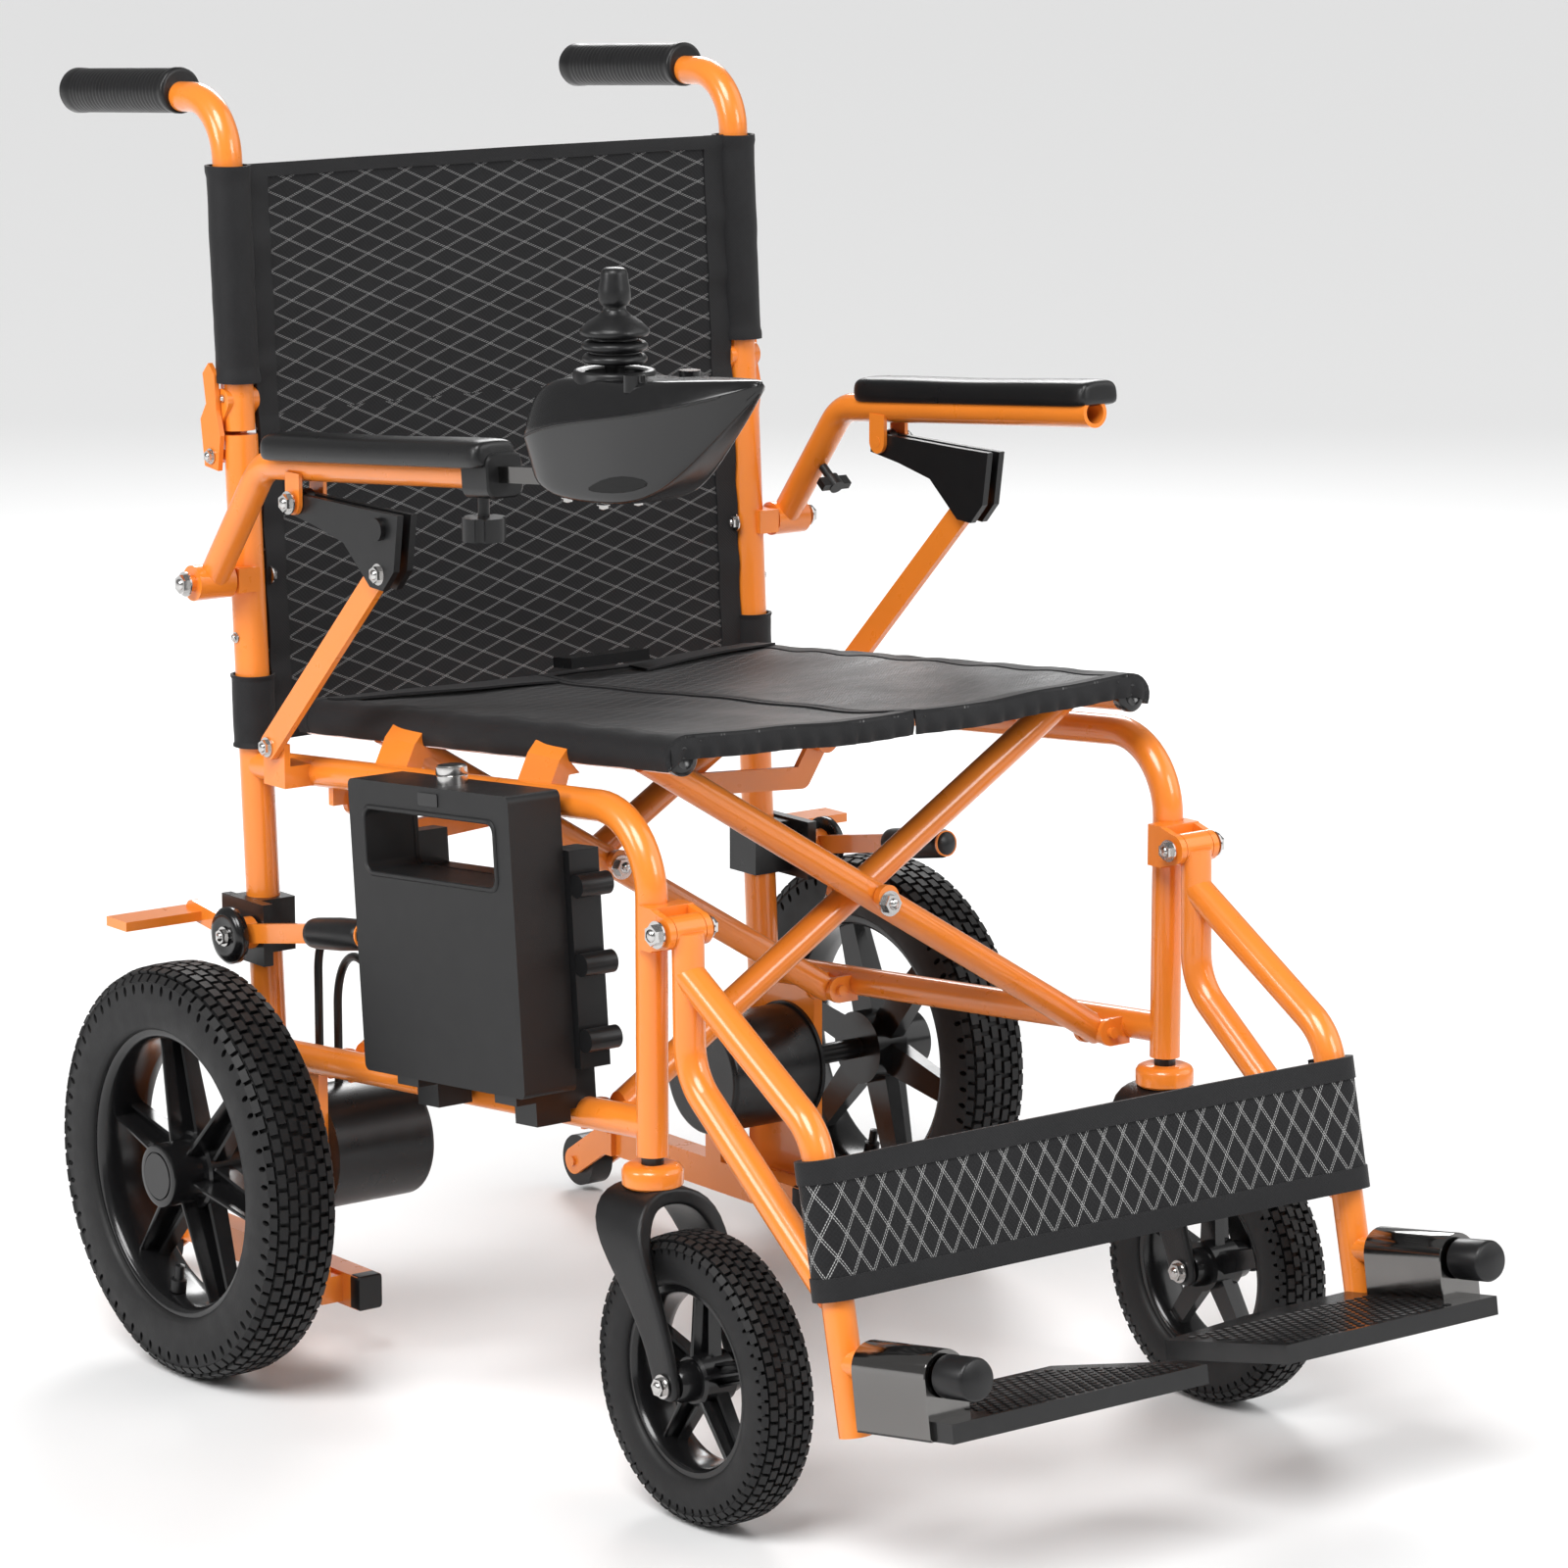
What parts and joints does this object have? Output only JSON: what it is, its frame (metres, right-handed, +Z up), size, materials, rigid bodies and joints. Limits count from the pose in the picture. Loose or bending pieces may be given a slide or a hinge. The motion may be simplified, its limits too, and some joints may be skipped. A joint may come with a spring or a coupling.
{
  "type": "power wheelchair",
  "caption": "Folding power wheelchair: raked tube frame, scissor braces, hub-driven rear wheels, swivel casters, sling seat, flip-up armrests, joystick box and side battery.",
  "frame": {"origin": "middle of the bounding box in X and Y, on the floor under the wheels", "axes": "+Z up, the rider faces -Y, the rider's right is -X"},
  "size_m": [0.704, 1.0722, 0.941],
  "materials": {
    "frame_paint": "gloss",
    "black_paint": "satin",
    "black_metal": "gloss",
    "bright_steel": "polished",
    "dark_chrome": "polished",
    "tyre_rubber": "matt",
    "grip_rubber": "matt",
    "moulded_black": "satin",
    "moulded_gloss": "gloss",
    "orange_plastic": "gloss",
    "case_charcoal": "satin",
    "seat_cloth": "woven",
    "mesh_cloth": "knitted mesh",
    "cable_sheath": "satin"
  },
  "bodies": {
    "frame_right": {"side_frame_right": "frame_paint", "motor_right": "black_paint", "brake_clamp_right": "black_metal", "battery_tray": "moulded_black", "back_panel_lower": "mesh_cloth", "drive_cables": "cable_sheath"},
    "brace_a": {"brace_a": "frame_paint", "seat_left": "seat_cloth", "lap_buckle": "moulded_gloss"},
    "brace_b": {"brace_b": "frame_paint", "seat_right": "seat_cloth"},
    "frame_left": {"side_frame_left": "frame_paint", "motor_left": "black_paint", "brake_clamp_left": "black_metal"},
    "back_right": {"back_post_right": "frame_paint", "push_grip_right": "grip_rubber", "back_panel_upper": "mesh_cloth"},
    "back_left": {"back_post_left": "frame_paint", "push_grip_left": "grip_rubber"},
    "arm_right": {"armrest_tube_right": "frame_paint", "armrest_pad_right": "moulded_black", "controller_bar": "bright_steel", "controller_shell": "moulded_black"},
    "arm_left": {"armrest_tube_left": "frame_paint", "armrest_pad_left": "moulded_black"},
    "leg_right": {"leg_hanger_right": "frame_paint", "calf_strap": "mesh_cloth"},
    "leg_left": {"leg_hanger_left": "frame_paint"},
    "battery": {"battery_pack": "case_charcoal"},
    "battery_knob": {"battery_knob": "moulded_gloss"},
    "gimbal": {"joystick_gimbal": "moulded_black"},
    "stick": {"joystick": "moulded_gloss"},
    "power_button": {"power_button": "moulded_gloss"},
    "horn_button": {"horn_button": "moulded_gloss"},
    "clamp_knob": {"clamp_knob": "moulded_black"},
    "wing_screw": {"wing_screw": "moulded_black"},
    "strut_right": {"arm_link_right": "frame_paint"},
    "latch_right": {"arm_latch_right": "black_metal"},
    "foot_right": {"footplate_right": "moulded_gloss"},
    "wheel_right": {"rear_rim_right": "moulded_gloss", "rear_tyre_right": "tyre_rubber"},
    "fork_right": {"caster_fork_right": "black_metal"},
    "caster_right": {"caster_rim_right": "moulded_gloss", "caster_tyre_right": "tyre_rubber"},
    "tip_wheel_right": {"tip_wheel_right": "grip_rubber"},
    "brake_right": {"brake_lever_right": "frame_paint"},
    "back_lever_right": {"back_lever_right": "orange_plastic"},
    "fold_link_right": {"fold_link_right": "frame_paint"},
    "strut_left": {"arm_link_left": "frame_paint"},
    "latch_left": {"arm_latch_left": "black_metal"},
    "foot_left": {"footplate_left": "moulded_gloss"},
    "wheel_left": {"rear_rim_left": "moulded_gloss", "rear_tyre_left": "tyre_rubber"},
    "fork_left": {"caster_fork_left": "black_metal"},
    "caster_left": {"caster_rim_left": "moulded_gloss", "caster_tyre_left": "tyre_rubber"},
    "tip_wheel_left": {"tip_wheel_left": "grip_rubber"},
    "brake_left": {"brake_lever_left": "frame_paint"},
    "back_lever_left": {"back_lever_left": "orange_plastic"},
    "fold_link_left": {"fold_link_left": "frame_paint"}
  },
  "joints": [
    {"name": "fold", "type": "hinge", "parent": "frame_right", "child": "brace_a", "pos_m": [-0.208, -0.1325, 0.25344], "axis": [0, -0.9962, 0.0872], "range_deg": [0, 39], "deforming": ["seat_left", "seat_right", "back_panel_upper", "back_panel_lower", "calf_strap"]},
    {"name": "brace_cross", "type": "hinge", "parent": "brace_a", "child": "brace_b", "pos_m": [0, -0.1325, 0.38094], "axis": [0, -0.9962, 0.0872], "range_deg": [-78, 0]},
    {"name": "fold_left", "type": "hinge", "parent": "brace_b", "child": "frame_left", "pos_m": [0.208, -0.1325, 0.25344], "axis": [0, -0.9962, 0.0872], "range_deg": [0, 39]},
    {"name": "fold_link_right", "type": "hinge", "parent": "frame_right", "child": "fold_link_right", "pos_m": [-0.207, 0.1898, 0.42054], "axis": [0, -0.9962, 0.0872], "range_deg": [0, 76.2]},
    {"name": "fold_link_left", "type": "hinge", "parent": "frame_left", "child": "fold_link_left", "pos_m": [0.207, 0.1852, 0.42094], "axis": [0, -0.9962, 0.0872], "range_deg": [-76.2, 0]},
    {"name": "footplate_right", "type": "hinge", "parent": "leg_right", "child": "foot_right", "pos_m": [-0.225, -0.5345, 0.166], "axis": [0, -0.9877, 0.1564], "range_deg": [0, 90.01]},
    {"name": "footplate_left", "type": "hinge", "parent": "leg_left", "child": "foot_left", "pos_m": [0.225, -0.5345, 0.166], "axis": [0, 0.9877, -0.1564], "range_deg": [0, 90.01]},
    {"name": "leg_rest_right", "type": "hinge", "parent": "frame_right", "child": "leg_right", "pos_m": [-0.225, -0.2245, 0.4015], "axis": [-1, 0, 0], "range_deg": [0, 90]},
    {"name": "leg_rest_left", "type": "hinge", "parent": "frame_left", "child": "leg_left", "pos_m": [0.225, -0.2245, 0.4015], "axis": [-1, 0, 0], "range_deg": [0, 90]},
    {"name": "back_fold_right", "type": "hinge", "parent": "frame_right", "child": "back_right", "pos_m": [-0.229, 0.33371, 0.68], "axis": [-1, 0, 0], "range_deg": [0, 130]},
    {"name": "back_lever_right", "type": "hinge", "parent": "frame_right", "child": "back_lever_right", "pos_m": [-0.2451, 0.32367, 0.662], "axis": [-1, 0, 0], "range_deg": [0, 15], "stiffness_Nm_per_rad": 0.6},
    {"name": "back_fold_left", "type": "hinge", "parent": "frame_left", "child": "back_left", "pos_m": [0.229, 0.33371, 0.68], "axis": [-1, 0, 0], "range_deg": [0, 130]},
    {"name": "back_lever_left", "type": "hinge", "parent": "frame_left", "child": "back_lever_left", "pos_m": [0.2451, 0.32367, 0.662], "axis": [-1, 0, 0], "range_deg": [0, 15], "stiffness_Nm_per_rad": 0.6},
    {"name": "armrest_right", "type": "hinge", "parent": "frame_right", "child": "arm_right", "pos_m": [-0.262, 0.3015, 0.574], "axis": [-1, 0, 0], "range_deg": [0, 75]},
    {"name": "arm_strut_right", "type": "hinge", "parent": "frame_right", "child": "strut_right", "pos_m": [-0.263, 0.2245, 0.463], "axis": [-1, 0, 0], "range_deg": [0, 49]},
    {"name": "arm_latch_right", "type": "hinge", "parent": "arm_right", "child": "latch_right", "pos_m": [-0.263, 0.1715, 0.648], "axis": [-1, 0, 0], "range_deg": [-78.35, 0]},
    {"name": "armrest_left", "type": "hinge", "parent": "frame_left", "child": "arm_left", "pos_m": [0.262, 0.3015, 0.574], "axis": [-1, 0, 0], "range_deg": [0, 75]},
    {"name": "arm_strut_left", "type": "hinge", "parent": "frame_left", "child": "strut_left", "pos_m": [0.263, 0.2245, 0.463], "axis": [-1, 0, 0], "range_deg": [0, 49]},
    {"name": "arm_latch_left", "type": "hinge", "parent": "arm_left", "child": "latch_left", "pos_m": [0.263, 0.1715, 0.648], "axis": [-1, 0, 0], "range_deg": [-78.35, 0]},
    {"name": "rear_wheel_right", "type": "hinge", "parent": "frame_right", "child": "wheel_right", "pos_m": [-0.318, 0.2475, 0.1525], "axis": [1, 0, 0], "continuous": true},
    {"name": "caster_swivel_right", "type": "hinge", "parent": "frame_right", "child": "fork_right", "pos_m": [-0.229, -0.195, 0.25], "axis": [0, 0, 1], "continuous": true},
    {"name": "caster_spin_right", "type": "hinge", "parent": "fork_right", "child": "caster_right", "pos_m": [-0.229, -0.2535, 0.1], "axis": [1, 0, 0], "continuous": true},
    {"name": "tip_wheel_spin_right", "type": "hinge", "parent": "frame_right", "child": "tip_wheel_right", "pos_m": [-0.205, 0.4925, 0.025], "axis": [1, 0, 0], "continuous": true},
    {"name": "brake_right", "type": "hinge", "parent": "frame_right", "child": "brake_right", "pos_m": [-0.264, 0.26484, 0.318], "axis": [-1, 0, 0], "range_deg": [0, 25]},
    {"name": "rear_wheel_left", "type": "hinge", "parent": "frame_left", "child": "wheel_left", "pos_m": [0.318, 0.2475, 0.1525], "axis": [1, 0, 0], "continuous": true},
    {"name": "caster_swivel_left", "type": "hinge", "parent": "frame_left", "child": "fork_left", "pos_m": [0.229, -0.195, 0.25], "axis": [0, 0, 1], "continuous": true},
    {"name": "caster_spin_left", "type": "hinge", "parent": "fork_left", "child": "caster_left", "pos_m": [0.229, -0.2535, 0.1], "axis": [1, 0, 0], "continuous": true},
    {"name": "tip_wheel_spin_left", "type": "hinge", "parent": "frame_left", "child": "tip_wheel_left", "pos_m": [0.205, 0.4925, 0.025], "axis": [1, 0, 0], "continuous": true},
    {"name": "brake_left", "type": "hinge", "parent": "frame_left", "child": "brake_left", "pos_m": [0.264, 0.26484, 0.318], "axis": [-1, 0, 0], "range_deg": [0, 25]},
    {"name": "battery_slide", "type": "slide", "parent": "frame_right", "child": "battery", "axis": [-1, 0, 0], "range_m": [0, 0.08]},
    {"name": "battery_knob_turn", "type": "hinge", "parent": "battery", "child": "battery_knob", "pos_m": [-0.268, -0.01584, 0.48138], "axis": [0, 0.0872, 0.9962], "range_deg": [0, 90]},
    {"name": "stick_pitch", "type": "hinge", "parent": "arm_right", "child": "gimbal", "pos_m": [-0.275, -0.2205, 0.763], "axis": [1, 0, 0], "range_deg": [-12, 12], "stiffness_Nm_per_rad": 0.35},
    {"name": "stick_roll", "type": "hinge", "parent": "gimbal", "child": "stick", "pos_m": [-0.275, -0.2205, 0.763], "axis": [0, 1, 0], "range_deg": [-12, 12], "stiffness_Nm_per_rad": 0.35},
    {"name": "power_press", "type": "slide", "parent": "arm_right", "child": "power_button", "axis": [0, 0, -1], "range_m": [0, 0.0015], "stiffness_N_per_m": 600},
    {"name": "horn_press", "type": "slide", "parent": "arm_right", "child": "horn_button", "axis": [0, 0, -1], "range_m": [0, 0.0015], "stiffness_N_per_m": 600},
    {"name": "clamp_turn", "type": "hinge", "parent": "arm_right", "child": "clamp_knob", "pos_m": [-0.262, -0.0495, 0.66748], "axis": [0, 0, 1], "continuous": true},
    {"name": "wing_turn", "type": "hinge", "parent": "arm_left", "child": "wing_screw", "pos_m": [0.262, 0.2605, 0.626], "axis": [0, -0.7861, -0.6181], "continuous": true}
  ],
  "couplings": [
    {"joint": "brace_cross", "follows": "fold", "ratio": -2},
    {"joint": "fold_left", "follows": "fold", "ratio": 1},
    {"joint": "fold_link_right", "follows": "fold", "ratio": 1.953},
    {"joint": "fold_link_left", "follows": "fold", "ratio": -1.953},
    {"joint": "footplate_right", "follows": "fold", "ratio": 2.3077},
    {"joint": "footplate_left", "follows": "fold", "ratio": 2.3077},
    {"joint": "leg_rest_left", "follows": "leg_rest_right", "ratio": 1},
    {"joint": "back_fold_left", "follows": "back_fold_right", "ratio": 1},
    {"joint": "arm_strut_right", "follows": "armrest_right", "ratio": 0.6527},
    {"joint": "arm_latch_right", "follows": "armrest_right", "ratio": -1.044},
    {"joint": "arm_strut_left", "follows": "armrest_left", "ratio": 0.6527},
    {"joint": "arm_latch_left", "follows": "armrest_left", "ratio": -1.044}
  ]
}
